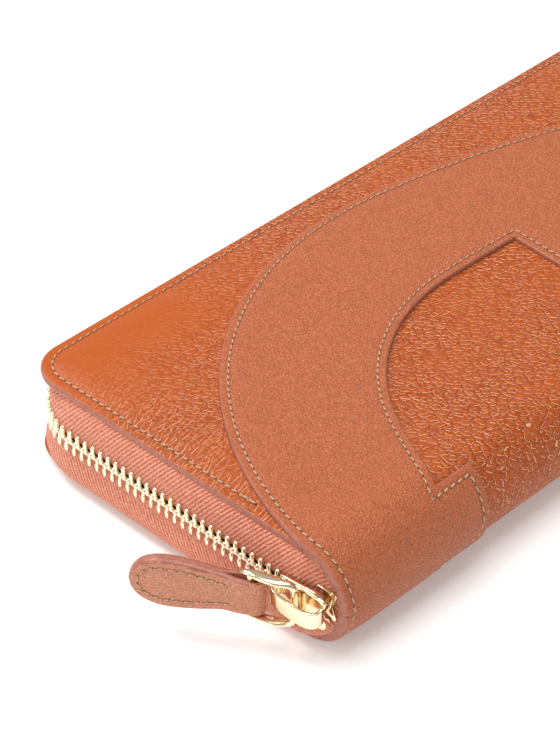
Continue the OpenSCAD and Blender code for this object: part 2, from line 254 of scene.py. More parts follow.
def grained_leather():
    """Soft pebbled calf leather. Short creases run slantwise over it and longer ones run in
    from the slider's end; they are grooves in the bump, and their pale colour is a painted
    highlight of the light from behind. The corner of the cover by the zip stays almost plain."""
    shade = Shade("grained_leather")
    place = shade.millimetres()
    spots = shade.add("ShaderNodeSeparateXYZ", Vector=place)
    near_end = shade.band(spots.outputs[0], -66.0, -84.0)
    from_zip = shade.band(spots.outputs[1], 8.0, 44.0)
    calm = shade.math("MULTIPLY", shade.band(spots.outputs[0], -15.0, -60.0), from_zip)
    pebble = shade.shift(shade.turned(1.95, 1.3, -47.0), 0.45, 0.7)
    fold = shade.shift(shade.turned(4.6, 1.25, 8.0), 0.35, 0.5)
    pebble_edge = shade.cells(pebble, 1.0)
    broken = shade.band(shade.noise(place, 0.8, 2.0), 0.34, 0.6, 0.3, 1.0)
    side_crease_glint = shade.math("MULTIPLY", shade.crease(fold, shade.cells(fold, 1.0)), near_end)
    away = shade.math("SUBTRACT", 1.0, shade.math("MULTIPLY", near_end, 0.75))
    middle_crease_glint = shade.math("MULTIPLY", shade.crease(pebble, pebble_edge), away)
    line = shade.math("MAXIMUM", side_crease_glint, middle_crease_glint)
    patches = shade.band(shade.noise(place, 0.05, 2.0), 0.34, 0.62, 0.7, 1.0)
    strength = shade.math("MULTIPLY", patches, shade.math("MULTIPLY_ADD", calm, -0.9, 1.0))
    line = shade.math("MULTIPLY", line, strength)
    pores = shade.noise(place, 2.6, 3.0, 0.6)
    dome = shade.math("MULTIPLY", shade.band(pebble_edge, 0.0, 0.42), strength)
    height = shade.math("MULTIPLY_ADD", line, -0.25, dome)
    height = shade.math("MULTIPLY_ADD", pores, 0.3, height)
    tone = shade.mix(shade.noise(place, 0.11, 3.0), (0.45, 0.083, 0.007), (0.50, 0.10, 0.010))
    # Painted shade: the valleys between the pebbles are darkened where shade would fall.
    valley_shade = shade.math("MULTIPLY", shade.band(pebble_edge, 0.3, 0.05), strength)
    tone = shade.mix(valley_shade, tone, (0.33, 0.052, 0.005))
    # Painted highlight: the crease lines, broken into short lengths, are painted pale where
    # light from behind would glint on them.
    pale = shade.math("MULTIPLY", line, broken)
    colour = shade.mix(pale, tone, (1.0, 0.50, 0.27))
    gloss = shade.math("MULTIPLY_ADD", calm, -0.08, 0.42)
    normal = shade.bump(height, 0.26, 0.9)
    return shade.finish(colour, gloss, normal, Specular_IOR_Level=0.27)


def smooth_leather(name, dark, light, roughness=0.52):
    """Fine-grained leather with small pores and a soft, even surface."""
    shade = Shade(name)
    place = shade.millimetres()
    grain = shade.band(shade.cells(shade.shift(place, 0.4, 1.2), 1.5), 0.0, 0.35)
    pores = shade.noise(place, 2.6, 3.0, 0.65)
    soft = shade.noise(place, 0.3, 3.0)
    height = shade.math("MULTIPLY_ADD", pores, 0.9, shade.math("MULTIPLY", grain, 0.8))
    colour = shade.mix(shade.band(soft, 0.2, 0.8), dark, light)
    # Painted shade and highlight: a darker copy of the leather in the pore pits and a lighter
    # copy on the pore tops, following the pores of the bump.
    shaded = tuple(value * 0.74 for value in dark)
    colour = shade.mix(shade.band(pores, 0.36, 0.56), shaded, colour)
    highlighted = tuple(min(1.0, value * 1.15 + 0.035) for value in light)
    colour = shade.mix(shade.band(pores, 0.56, 0.68), colour, highlighted)
    gloss = shade.math("MULTIPLY_ADD", soft, 0.1, roughness - 0.05)
    normal = shade.bump(height, 0.21, 0.9)
    return shade.finish(colour, gloss, normal, Specular_IOR_Level=0.42, Sheen_Weight=0.04,
                        Sheen_Roughness=0.4)


def edge_paint():
    """Several thin coats of paint on a cut edge, slightly uneven."""
    shade = Shade("edge_paint")
    place = shade.millimetres()
    waves = shade.noise(place, 0.9, 2.0)
    colour = shade.mix(shade.band(waves, 0.35, 0.65), (0.34, 0.105, 0.062),
                       (0.42, 0.14, 0.085))
    normal = shade.bump(waves, 0.08, 0.6)
    return shade.finish(colour, 0.38, normal, Coat_Weight=0.15, Coat_Roughness=0.3)


def thread():
    """Twisted polyester thread. The attribute along darkens it where it dives in, as painted
    shade in the stitch holes.
    """
    shade = Shade("thread")
    place = shade.millimetres()
    twist = shade.add("ShaderNodeTexWave", {"bands_direction": "DIAGONAL"}, Vector=place,
                      Scale=1.6, Distortion=1.0).outputs["Fac"]
    depth = shade.add("ShaderNodeAttribute", {"attribute_name": "along"}).outputs["Fac"]
    light = shade.mix(twist, (0.47, 0.30, 0.17), (0.70, 0.50, 0.33))
    # Painted shade: each stitch turns dark brown towards its ends, where it dives into its
    # hole.
    colour = shade.mix(shade.band(depth, 0.42, 0.9), light, (0.10, 0.032, 0.012))
    normal = shade.bump(twist, 0.06, 0.8)
    return shade.finish(colour, 0.6, normal, Sheen_Weight=0.2, Sheen_Roughness=0.4)


def woven_tape():
    """Slant-ribbed zip tape. The attribute weave is the place along and across it."""
    shade = Shade("woven_tape")
    weave = shade.add("ShaderNodeAttribute", {"attribute_name": "weave"})
    parts = shade.add("ShaderNodeSeparateXYZ", Vector=weave.outputs["Vector"])
    run = parts.outputs[0]
    across = parts.outputs[1]
    slanted = shade.math("MULTIPLY_ADD", across, -RIB_SLANT, run)
    rib = shade.math("SINE", shade.math("MULTIPLY", slanted, 2 * math.pi / RIB_PITCH))
    yarn = shade.math("SINE", shade.math("MULTIPLY", across, 2 * math.pi / 0.42))
    yarn_run = shade.math("SINE", shade.math("MULTIPLY", run, 2 * math.pi / 0.5))
    yarn = shade.math("MULTIPLY", yarn, yarn_run)
    fuzz = shade.noise(shade.millimetres(), 2.3, 3.0)
    height = shade.math("MULTIPLY_ADD", yarn, 0.5, rib)
    height = shade.math("MULTIPLY_ADD", fuzz, 0.6, height)
    # Painted highlight and shade: the ribs, the yarns and the fuzz are coloured lighter on
    # their crests and darker in their hollows, at the same heights as the bump.
    tone = shade.mix(shade.band(rib, -1.0, 0.2), (0.54, 0.115, 0.06),
                     (1.0, 0.37, 0.225))
    colour = shade.mix(shade.band(yarn, -1.0, 0.2), (0.60, 0.145, 0.082), tone)
    colour = shade.mix(shade.band(fuzz, 0.5, 0.36, 0.0, 0.5), colour, (0.52, 0.10, 0.05))
    colour = shade.mix(shade.band(fuzz, 0.52, 0.66, 0.0, 0.7), colour, (1.0, 0.50, 0.31))
    normal = shade.bump(height, 0.13, 0.9)
    return shade.finish(colour, 0.75, normal, Sheen_Weight=0.3, Sheen_Roughness=0.5,
                        Sheen_Tint=(1.0, 0.75, 0.65))


def polished_metal(name, colour, roughness):
    """Plated metal with faint hairlines and a slight unevenness in its shine."""
    shade = Shade(name)
    place = shade.millimetres()
    hair = shade.noise(shade.millimetres((0.25, 3.0, 3.0)), 2.0, 2.0)
    cloud = shade.noise(place, 0.5, 2.0)
    pale = tuple(min(1.0, value * 1.06) for value in colour)
    tone = shade.mix(cloud, colour, pale)
    gloss = shade.math("MULTIPLY_ADD", cloud, 0.08, roughness - 0.04)
    normal = shade.bump(hair, 0.012, 0.5)
    return shade.finish(tone, gloss, normal, Metallic=1.0)


def lining_skin(name, dark, light):
    """Thin split leather for the inside, with a fine netted grain."""
    shade = Shade(name)
    place = shade.millimetres()
    hatch = shade.cells(shade.shift(place, 0.5, 1.2), 1.7)
    soft = shade.noise(place, 0.2, 3.0)
    colour = shade.mix(shade.band(soft, 0.3, 0.7), dark, light)
    # Painted shade: a darker copy of the colour lies in the grooves of the net.
    colour = shade.mix(shade.band(hatch, 0.0, 0.2), tuple(v * 0.7 for v in dark), colour)
    normal = shade.bump(shade.band(hatch, 0.0, 0.3), 0.05, 0.7)
    return shade.finish(colour, 0.55, normal, Specular_IOR_Level=0.4)


def foam_skin():
    shade = Shade("foam_cells")
    cells = shade.cells(shade.millimetres(), 2.4, "F1")
    colour = shade.mix(cells, (0.75, 0.7, 0.58), (0.5, 0.46, 0.38))
    return shade.finish(colour, 0.9, shade.bump(cells, 0.15, 0.8))


def fibre_board():
    shade = Shade("fibre_board")
    fibre = shade.noise(shade.millimetres((0.5, 2.0, 2.0)), 1.2, 4.0, 0.7)
    colour = shade.mix(fibre, (0.30, 0.20, 0.12), (0.48, 0.36, 0.24))
    return shade.finish(colour, 0.85, shade.bump(fibre, 0.05, 0.7))


def floor_shade():
    shade = Shade("pale_floor")
    haze = shade.noise(shade.millimetres(), 0.004, 1.0)
    colour = shade.mix(haze, (0.95, 0.95, 0.95), (0.97, 0.97, 0.97))
    return shade.finish(colour, 0.5, None, Emission_Color=(0.88, 1.0, 1.0),
                        Emission_Strength=0.2)


GRAINED = grained_leather()
SMOOTH = smooth_leather("smooth_leather", (0.505, 0.122, 0.035), (0.545, 0.138, 0.043), 0.46)
TAB_SKIN = smooth_leather("tab_leather", (0.65, 0.25, 0.14), (0.72, 0.29, 0.165), 0.48)
PAINT = edge_paint()
THREAD = thread()
TAPE = woven_tape()
GOLD = polished_metal("polished_gold", (0.93, 0.77, 0.52), 0.13)
TEETH = polished_metal("tooth_metal", (0.84, 0.74, 0.55), 0.24)
LINING = lining_skin("lining_leather", (0.20, 0.052, 0.032), (0.27, 0.075, 0.045))
INNER = smooth_leather("inner_leather", (0.42, 0.125, 0.055), (0.49, 0.155, 0.07), 0.5)
FOAM = foam_skin()
BOARD = fibre_board()


# ---- Mesh helpers ----

class Shape:
    """Closed surfaces in wallet millimetres that become one piece."""

    def __init__(self):
        self.points = []
        self.faces = []
        self.paints = []
        self.values = []
        self.count = 0

    def add(self, points, faces, paint=0, values=None):
        points = np.asarray(points, float).reshape(-1, 3)
        start = self.count
        self.points.append(points)
        self.faces.extend(tuple(int(i) + start for i in face) for face in faces)
        paints = paint if isinstance(paint, list) else [paint] * len(faces)
        self.paints.extend(paints)
        if values is None:
            values = np.zeros((len(points), 3))
        self.values.append(np.asarray(values, float).reshape(-1, 3))
        self.count += len(points)

    def tube(self, rings, flip=False, values=None):
        """A closed body through rings of equal length, with flat ends."""
        rows = len(rings)
        columns = len(rings[0])
        faces = []
        for low in range(0, (rows - 1) * columns, columns):
            for a in range(columns):
                b = (a + 1) % columns
                faces.append((low + a, low + b, low + columns + b, low + columns + a))
        faces.append(tuple(range(columns - 1, -1, -1)))
        faces.append(tuple((rows - 1) * columns + i for i in range(columns)))
        if flip:
            faces = [tuple(reversed(face)) for face in faces]
        self.add(np.concatenate(rings), faces, 0, values)

    def piece(self, name, materials, slot, sharp=38, attribute=None):
        points = np.vstack(self.points)
        placed = (points + np.array((SHIFT_X, SHIFT_Y, 0))) * MM
        mesh = bpy.data.meshes.new(name)
        mesh.from_pydata(placed.tolist(), [], self.faces)
        for material in materials:
            mesh.materials.append(material)
        mesh.polygons.foreach_set("material_index", self.paints)
        mesh.shade_smooth()
        mesh.set_sharp_from_angle(angle=math.radians(sharp))
        if attribute == "weave":
            layer = mesh.attributes.new("weave", "FLOAT_VECTOR", "POINT")
            layer.data.foreach_set("vector", np.vstack(self.values).ravel())
        if attribute == "along":
            layer = mesh.attributes.new("along", "FLOAT", "POINT")
            layer.data.foreach_set("value", np.vstack(self.values)[:, 0].copy())
        mesh.update()
        thing = bpy.data.objects.new(name, mesh)
        bpy.context.collection.objects.link(thing)
        return thing


def put(shape, name, materials, slot, body, node=None, sharp=38, attribute=None):
    """Makes a piece that moves with a body and stands for a CAD node."""
    thing = shape.piece(name, materials, slot, sharp, attribute)
    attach(thing, body)
    if node:
        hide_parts(node)
    return thing


def rounded(half_a, half_b, radius, steps=3):
    """Rounded rectangle as points (a, b) around its centre."""
    radius = min(radius, half_a, half_b)
    points = []
    for sign_a, sign_b, start in ((1, 1, 0), (-1, 1, 90), (-1, -1, 180), (1, -1, 270)):
        for i in range(steps + 1):
            angle = math.radians(start + 90 * i / steps)
            points.append((sign_a * (half_a - radius) + radius * math.cos(angle),
                           sign_b * (half_b - radius) + radius * math.sin(angle)))
    return np.array(points)


def sweep(path, sections, normals):
    """Rings of sections (a, b) carried along a 3-D path, with a along the normals."""
    path = np.asarray(path, float)
    runs = np.diff(path, axis=0)
    runs /= np.linalg.norm(runs, axis=1)[:, None]
    tangent = np.vstack((runs, runs[-1:])) + np.vstack((runs[:1], runs))
    tangent /= np.linalg.norm(tangent, axis=1)[:, None]
    rings = []
    for place, ahead, section, normal in zip(path, tangent, sections, normals):
        normal = normal - ahead * np.dot(normal, ahead)
        normal /= np.linalg.norm(normal)
        side = np.cross(ahead, normal)
        rings.append(place + section[:, :1] * normal + section[:, 1:] * side)
    return rings


def inside(points, outline):
    """Even-odd test of many points against one closed outline."""
    x = points[:, 0]
    y = points[:, 1]
    result = np.zeros(len(points), bool)
    for a, b in zip(outline, np.roll(outline, -1, 0)):
        if a[1] == b[1]:
            continue
        crosses = (a[1] > y) != (b[1] > y)
        at = a[0] + (y - a[1]) * (b[0] - a[0]) / (b[1] - a[1])
        result ^= crosses & (x < at)
    return result


def edge_distance(points, starts, ends):
    """Distance from each point to the nearest of the segments."""
    nearest = np.full(len(points), 1e9)
    for a, b in zip(starts, ends):
        run = b - a
        t = np.clip((points - a) @ run / max(run @ run, 1e-12), 0, 1)
        gap = points - a - t[:, None] * run
        nearest = np.minimum(nearest, (gap * gap).sum(1))
    return np.sqrt(nearest)


def arc(centre, radius, start, end, count):
    """Points of an arc, its angles in degrees."""
    angles = np.radians(np.linspace(start, end, count + 1))
    return np.column_stack((centre[0] + radius * np.cos(angles),
                            centre[1] + radius * np.sin(angles)))


def walk(points, step, closed=False):
    """The polyline's corners with points between them no further apart than step."""
    points = np.asarray(points, float)
    ends = np.roll(points, -1, 0) if closed else points[1:]
    starts = points if closed else points[:-1]
    out = []
    for a, b in zip(starts, ends):
        parts = max(1, int(math.ceil(np.linalg.norm(b - a) / step)))
        out.extend(a + (b - a) * i / parts for i in range(parts))
    if not closed:
        out.append(points[-1])
    return np.array(out)


def offset_path(points, distance):
    """An open polyline moved to its left with mitred corners and no loops."""
    dense = walk(points, 0.8)
    runs = np.diff(dense, axis=0)
    runs /= np.linalg.norm(runs, axis=1)[:, None]
    left = np.column_stack((-runs[:, 1], runs[:, 0]))
    before = np.vstack((left[:1], left))
    after = np.vstack((left, left[-1:]))
    mitre = (before + after) / (1 + (before * after).sum(1))[:, None]
    moved = dense + mitre * distance
    clear = edge_distance(moved, dense[:-1], dense[1:])
    return moved[clear > distance - 0.03]


# ---- The curved surface that the leather lies on ----

def padding(u, v, side):
    """How far a cover stands above flat: pressed at the rim, and the front fuller inside."""
    rim = np.minimum(END_X - np.abs(u), DEPTH - v)
    if side < 0:
        return -0.3 * (1 - smooth(rim, 1.0, 8.5))
    strip = 0.45 * (1 - np.clip(rim / 3.4, 0, 1)) ** 1.5
    pressed = 0.45 * (1 - smooth(rim, 2.6, 8.0))
    full = smooth(rim, 4.0, 18.0) * smooth(v, -3.0, 24.0)
    near = smooth(v, -12.0, 6.0)
    return 0.75 * full - (strip + pressed) * (0.35 + 0.65 * near)


def cover_point(u, v, h, side):
    """Place on a cover. u runs along X, v from the spine bend towards the zip, h outwards.
    Where v is negative the surface turns round the spine, down to SEAM at mid height."""
    u = np.asarray(u, float)
    v = np.asarray(v, float)
    h = h + padding(u, v, side)
    angle = np.clip(-v, 0, None) / HALF + math.pi / 2
    radius = HALF + h
    y = SPINE_Y + np.where(v > 0, v, radius * np.cos(angle))
    rise = np.where(v > 0, radius, radius * np.sin(angle))
    return np.column_stack((u + 0 * rise, y, MID + side * rise))


def panel(shape, sections, side, low, high, stitch, edge_radius=0.45, rim_radius=1.0,
          grid=1.7, puff=0.0, groove=0.2, paint=1, skirt=1.25, place=cover_point):
    """A leather panel on a cover's surface, cut to an outline.
    The outline is a list of (kind, points), anticlockwise. A cut is a painted edge, a rim
    is the thick edge at the shell's open end, and a seam is where it meets its other half."""
    outline = []
    kinds = []
    for kind, points in sections:
        dense = walk(points, 1.0)[:-1]
        outline.append(dense)
        kinds.extend([kind] * len(dense))
    outline = np.vstack(outline)
    kinds = np.array(kinds)
    following = np.roll(outline, -1, 0)
    count = len(outline)
    run = following - outline
    run /= np.linalg.norm(run, axis=1)[:, None]
    left = np.column_stack((-run[:, 1], run[:, 0]))
    before = np.roll(left, 1, 0)
    mitre = (left + before) / np.maximum(1 + (left * before).sum(1), 0.4)[:, None]

    chosen = [outline]
    for inset in (0.12, 0.3, 0.6, 1.1, stitch - 0.6, stitch, stitch + 0.6, stitch + 1.5):
        ring = outline + mitre * inset
        clear = edge_distance(ring, outline, following) > inset - 0.02
        chosen.append(ring[clear & inside(ring, outline)])
    low_corner = outline.min(0)
    high_corner = outline.max(0)
    columns = np.arange(low_corner[0], high_corner[0], grid)
    rows = np.arange(low_corner[1], high_corner[1], grid * 0.866)
    mesh_x, mesh_y = np.meshgrid(columns, rows)
    mesh_x = mesh_x + (np.arange(len(rows)) % 2)[:, None] * grid / 2
    middle = np.column_stack((mesh_x.ravel(), mesh_y.ravel()))
    middle = middle[inside(middle, outline)]
    middle = middle[edge_distance(middle, outline, following) > stitch + 2.3]
    chosen.append(middle)
    flat = np.vstack(chosen)

    edges = [(i, (i + 1) % count) for i in range(count)]
    result = delaunay_2d_cdt([Vector(p) for p in flat.tolist()], edges, [], 0, 1e-5)
    flat = np.array([tuple(p) for p in result[0]])
    triangles = np.array(result[2])
    centres = flat[triangles].mean(1)
    triangles = triangles[inside(centres, outline)]
    new_of = {}
    for new, old in enumerate(result[3]):
        for index in old:
            new_of[index] = new
    border = [new_of[i] for i in range(count)]

    real = kinds != "seam"
    gap = edge_distance(flat, outline[real], following[real])
    rim = kinds == "rim"
    bend = np.full(len(flat), edge_radius)
    rim_gap = np.full(len(flat), 99.0)
    if rim.any():
        rim_gap = edge_distance(flat, outline[rim], following[rim])
        bend = np.where(rim_gap < 1.6, rim_radius, bend)
    inset = np.clip(1 - gap / bend, 0, 1)
    drop = bend * (1 - np.sqrt(np.clip(1 - inset ** 2, 0, 1)))
    channel = groove * np.exp(-((gap - stitch) / 0.4) ** 2)
    swell = puff * smooth(gap, stitch + 0.4, stitch + 2.4) * (1 - 0.6 * smooth(gap, 6, 12))
    top = high - drop - channel + swell
    bottom = np.full(len(flat), low)
    bottom = np.where(rim_gap < 0.02, low - skirt, bottom)
    upper = place(flat[:, 0], flat[:, 1], top, side)
    lower = place(flat[:, 0], flat[:, 1], bottom, side)
    total = len(flat)
    faces = [tuple(t) for t in triangles.tolist()]
    faces += [tuple(i + total for i in reversed(t)) for t in triangles.tolist()]
    near = (gap[triangles].max(1) < edge_radius * 0.8).tolist()
    paints = [paint if close else 0 for close in near] + [0] * len(triangles)

    # The wall between the two faces stands a little proud, as a painted edge does
    waist = []
    for i in range(count):
        here = flat[border[i]]
        bulge = 0.0 if kinds[i] == "seam" or kinds[i - 1] == "seam" else 0.1
        out = here - mitre[i] * bulge
        level = (top[border[i]] + bottom[border[i]]) / 2
        waist.append((out[0], out[1], level))
    waist = np.array(waist)
    middle_ring = place(waist[:, 0], waist[:, 1], waist[:, 2], side)
    base = 2 * total
    for i in range(count):
        j = (i + 1) % count
        a = border[i]
        b = border[j]
        faces.append((a, base + i, base + j, b))
        faces.append((base + i, a + total, b + total, base + j))
        paints += [paint, paint]
    if side < 0:
        faces = [tuple(reversed(face)) for face in faces]
    shape.add(np.vstack((upper, lower, middle_ring)), faces, paints)


def stitches(shape, path, side, level, start=0.1, length=1.95, radius=0.2,
             pitch=STITCH_PITCH, place=cover_point):
    """Separate stitches along a path of (u, v) points, each one an arched thread."""
    path = np.asarray(path, float)
    runs = np.linalg.norm(np.diff(path, axis=0), axis=1)
    reach = np.concatenate(((0,), np.cumsum(runs)))
    sides = 6
    turn = np.linspace(0, 2 * math.pi, sides, endpoint=False)
    along = np.linspace(0, 1, 7)
    lift = 0.2 * np.sin(along * math.pi) ** 0.6 - 0.16
    thick = radius * (0.55 + 0.45 * np.sin(along * math.pi) ** 0.5)
    values = np.zeros((len(along) * sides, 3))
    # along is 0 at a stitch's middle and 1 at its ends, where the thread paints shade.
    values[:, 0] = np.repeat(abs(2 * along - 1), sides)
    for mark in np.arange(start, reach[-1], pitch):
        if mark + length > reach[-1]:
            continue
        run = mark + along * length
        line = np.column_stack([np.interp(run, reach, path[:, k]) for k in (0, 1)])
        ahead = line[-1] - line[0]
        ahead /= max(np.linalg.norm(ahead), 1e-6)
        across = np.array((-ahead[1], ahead[0]))
        line = line + np.outer((along - 0.5) * 0.35, across)
        rings = []
        for middle, rise, wide in zip(line, lift, thick):
            flat = middle + np.outer(wide * np.cos(turn), across)
            rings.append(place(flat[:, 0], flat[:, 1], level + rise + wide * np.sin(turn),
                               side))
        shape.tube(rings, side > 0, values)


# ---- Outlines of the leather panels, as (u, v) points ----

# The overlay is an arch about one centre, with a flatter arc towards the far end. The
# window in it is a smaller arch with an almost straight top. RIM_X is its open end.
ARCH = (-10.0, -12.9)
ARCH_R = 89.2
FLAT_R = 300.0
WINDOW_R = 52.4
TOP_R = 400.0
RIM_X = END_X + 0.3


def base_outline():
    right = END_X - CORNER
    back = DEPTH - CORNER
    edge = [(END_X, SEAM), (END_X, back)]
    edge += arc((right, back), CORNER, 0, 90, 14)[1:].tolist()
    edge += arc((-right, back), CORNER, 90, 180, 14).tolist()
    edge += [(-END_X, SEAM)]
    return [("seam", [(-END_X, SEAM), (END_X, SEAM)]), ("cut", edge)]


def arch_curve():
    """The overlay's outer edge, from the +X end over the arch to the slider end."""
    lean = math.radians(8)
    join = (ARCH[0] + ARCH_R * math.sin(lean), ARCH[1] + ARCH_R * math.cos(lean))
    centre = (join[0] - FLAT_R * math.sin(lean), join[1] - FLAT_R * math.cos(lean))
    start = math.degrees(math.acos((RIM_X - centre[0]) / FLAT_R))
    end = math.degrees(math.acos((-RIM_X - ARCH[0]) / ARCH_R))
    points = arc(centre, FLAT_R, start, 82, 40)[:-1].tolist()
    return points + arc(ARCH, ARCH_R, 82, end, 90).tolist()


def fillet(before, corner, after, radius, steps=6):
    """Rounds one corner of a polyline."""
    corner = np.array(corner, float)
    to_before = np.array(before, float) - corner
    to_after = np.array(after, float) - corner
    to_before /= np.linalg.norm(to_before)
    to_after /= np.linalg.norm(to_after)
    half = math.acos(np.clip(to_before @ to_after, -1, 1)) / 2
    tangent = radius / math.tan(half)
    middle = to_before + to_after
    centre = corner + middle / np.linalg.norm(middle) * radius / math.sin(half)
    first = corner + to_before * tangent - centre
    last = corner + to_after * tangent - centre
    turn = math.atan2(first[0] * last[1] - first[1] * last[0], first @ last)
    out = []
    for i in range(steps + 1):
        angle = turn * i / steps
        rotated = (first[0] * math.cos(angle) - first[1] * math.sin(angle),
                   first[0] * math.sin(angle) + first[1] * math.cos(angle))
        out.append((centre[0] + rotated[0], centre[1] + rotated[1]))
    return out


def window_edge(side):
    """The window's edge from the slider-end band over the arch to the other band."""
    leave_at = 155
    tangent = math.radians(leave_at)
    leave = (ARCH[0] + WINDOW_R * math.cos(tangent), ARCH[1] + WINDOW_R * math.sin(tangent))
    slope = (math.sin(tangent), -math.cos(tangent))
    band = -53.6
    far = 10.0
    far_band = 4.5
    notch = -5.6 if side > 0 else -13.4
    fall = (notch - leave[1]) / slope[1]
    corner = (leave[0] + slope[0] * fall, notch)
    start = (band - 0.8, SEAM)
    if side > 0:
        step = [(band, notch)]
    else:
        step = fillet(start, (band - 1.6, notch), corner, 2.6)
    arch = arc(ARCH, WINDOW_R, leave_at, 90, 40).tolist()
    top = (ARCH[0], ARCH[1] + WINDOW_R - TOP_R)
    arch += arc(top, TOP_R, 90, 86.7, 10)[1:].tolist()
    end = [(far, notch), (far_band, notch), (far_band + 0.4, SEAM)]
    return [start] + step + [corner] + arch + end


def overlay_outline(side):
    window = window_edge(side)
    arch = arch_curve()
    return [
        ("seam", [(-RIM_X, SEAM), window[0]]),
        ("cut", window),
        ("seam", [window[-1], (RIM_X, SEAM)]),
        ("rim", [(RIM_X, SEAM), arch[0]]),
        ("cut", arch),
        ("rim", [arch[-1], (-RIM_X, SEAM)]),
    ]


def joined(sections, indices):
    """The named sections of an outline as one polyline."""
    points = []
    for index in indices:
        part = [tuple(p) for p in sections[index][1]]
        points += part if not points else part[1:]
    return np.array(points)


# ---- The shell: grained leather, the smooth overlay and their stitching ----

NAME = {1: "front", -1: "back"}


def across_spine(thing, side):
    """Bakes the placement of a piece of the shell into its mesh; both sides are treated
    alike.
    """
    if side > 0:
        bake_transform(thing)
    else:
        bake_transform(thing)


def stands_for(side, layer):
    """The front halves also stand for the spine's part of the shell."""
    if side > 0:
        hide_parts("front_" + layer, "spine_" + layer)
    else:
        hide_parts("back_" + layer)


def make_shell(side):
    name = NAME[side]
    outline = base_outline()
    skin = Shape()
    swelling = 0.22 if side > 0 else 0.0
    panel(skin, outline, side, -LEATHER, 0.0, BORDER_STITCH, puff=swelling)
    thing = skin.piece(name + "_skin", [GRAINED, PAINT], "grained_leather")
    across_spine(thing, side)
    stands_for(side, "leather")

    sections = overlay_outline(side)
    cover = Shape()
    swelling = 0.08 if side > 0 else 0.0
    panel(cover, sections, side, -0.03, OVERLAY, OVERLAY_STITCH, puff=swelling)
    thing = cover.piece(name + "_overlay_skin", [SMOOTH, PAINT], "smooth_leather")
    across_spine(thing, side)
    stands_for(side, "overlay")

    # The overlay's stitching follows its outer edge and the window. On the back it is sunk
    # into its groove, so that the wallet rests on the leather.
    sewing = Shape()
    level = OVERLAY - (0.02 if side > 0 else 0.24)
    for edge in ((3, 4, 5), (1,)):
        path = offset_path(joined(sections, edge), OVERLAY_STITCH)
        stitches(sewing, path, side, level)

    # The cover's border is stitched up to the overlay, and each end is sewn twice
    covered = np.vstack([walk(points, 2.0)[:-1] for _, points in sections])
    border = walk(offset_path(joined(outline, (1,)), BORDER_STITCH), 0.6)
    window = np.array(window_edge(side))
    hole = np.vstack((window, window[[-1, 0]] - (0, 5)))
    open_part = ~inside(border, covered) & ~inside(border, hole)
    clear = edge_distance(border, covered, np.roll(covered, -1, 0)) > 0.8
    border = border[open_part & clear]
    stitches(sewing, border, side, -0.02)
    doubled = 14
    for end in (border[:doubled], border[::-1][:doubled]):
        stitches(sewing, end, side, 0.16, start=0.9)
    thing = sewing.piece(name + "_shell_stitches", [THREAD], "grained_leather", 60, "along")
    across_spine(thing, side)


for cover_side in (1, -1):
    make_shell(cover_side)


# ---- The zip ----

# The zip's path runs up one short side, round a corner of radius ZIP_R, along the long side
# and back down. HALF_RUN is its length to the middle and TAIL what the tapes go on past it.
ZIP_R = 18.0
SIDE_RUN = ZIP_Y - ZIP_R - SPINE_Y
CORNER_RUN = ZIP_R * math.pi / 2
HALF_RUN = SIDE_RUN + CORNER_RUN + END_X - ZIP_R
TAIL = 9.8
TOOTH_PITCH = 2.45


def curve(points, count):
    """Smooth curve through the points given."""
    points = np.asarray(points, float)
    padded = np.vstack((2 * points[0] - points[1], points, 2 * points[-1] - points[-2]))
    marks = np.linspace(0, len(points) - 1 - 1e-9, count)
    index = marks.astype(int)
    t = (marks - index)[:, None]
    a, b, c, d = (padded[index + k] for k in range(4))
    return 0.5 * (2 * b + (c - a) * t + (2 * a - 5 * b + 4 * c - d) * t ** 2
                  + (3 * b - a - 3 * c + d) * t ** 3)


def zip_place(run, out, height):
    """Place on the zip's path. run starts at the spine bend of the slider end, out is
    measured outwards from the covers' edge and height up from the mid plane."""
    run = np.asarray(run, float)
    t = np.where(run < HALF_RUN, run, 2 * HALF_RUN - run)
    end = np.where(run < HALF_RUN, -1.0, 1.0)
    angle = np.clip((t - SIDE_RUN) / ZIP_R, 0, math.pi / 2)
    past = np.clip(t - SIDE_RUN - CORNER_RUN, 0, None)
    x = END_X - ZIP_R + (ZIP_R + out) * np.cos(angle) - past
    y = SPINE_Y + np.minimum(t, SIDE_RUN) + (ZIP_R + out) * np.sin(angle)
    return np.column_stack((end * x, y, MID + height + 0 * run))


# Each tape's section as (out, height), from under the leather to the teeth
TAPE_CURVE = {
    1: [(-1.9, 10.3), (-0.6, 10.0), (0.4, 9.0), (1.15, 7.3), (1.6, 5.2), (1.55, 3.4),
        (1.45, 1.0)],
    -1: [(-1.9, 10.9), (0.6, 11.3), (2.1, 10.6), (2.8, 8.8), (2.75, 6.8), (1.95, 4.3),
         (1.45, 1.0)],
}


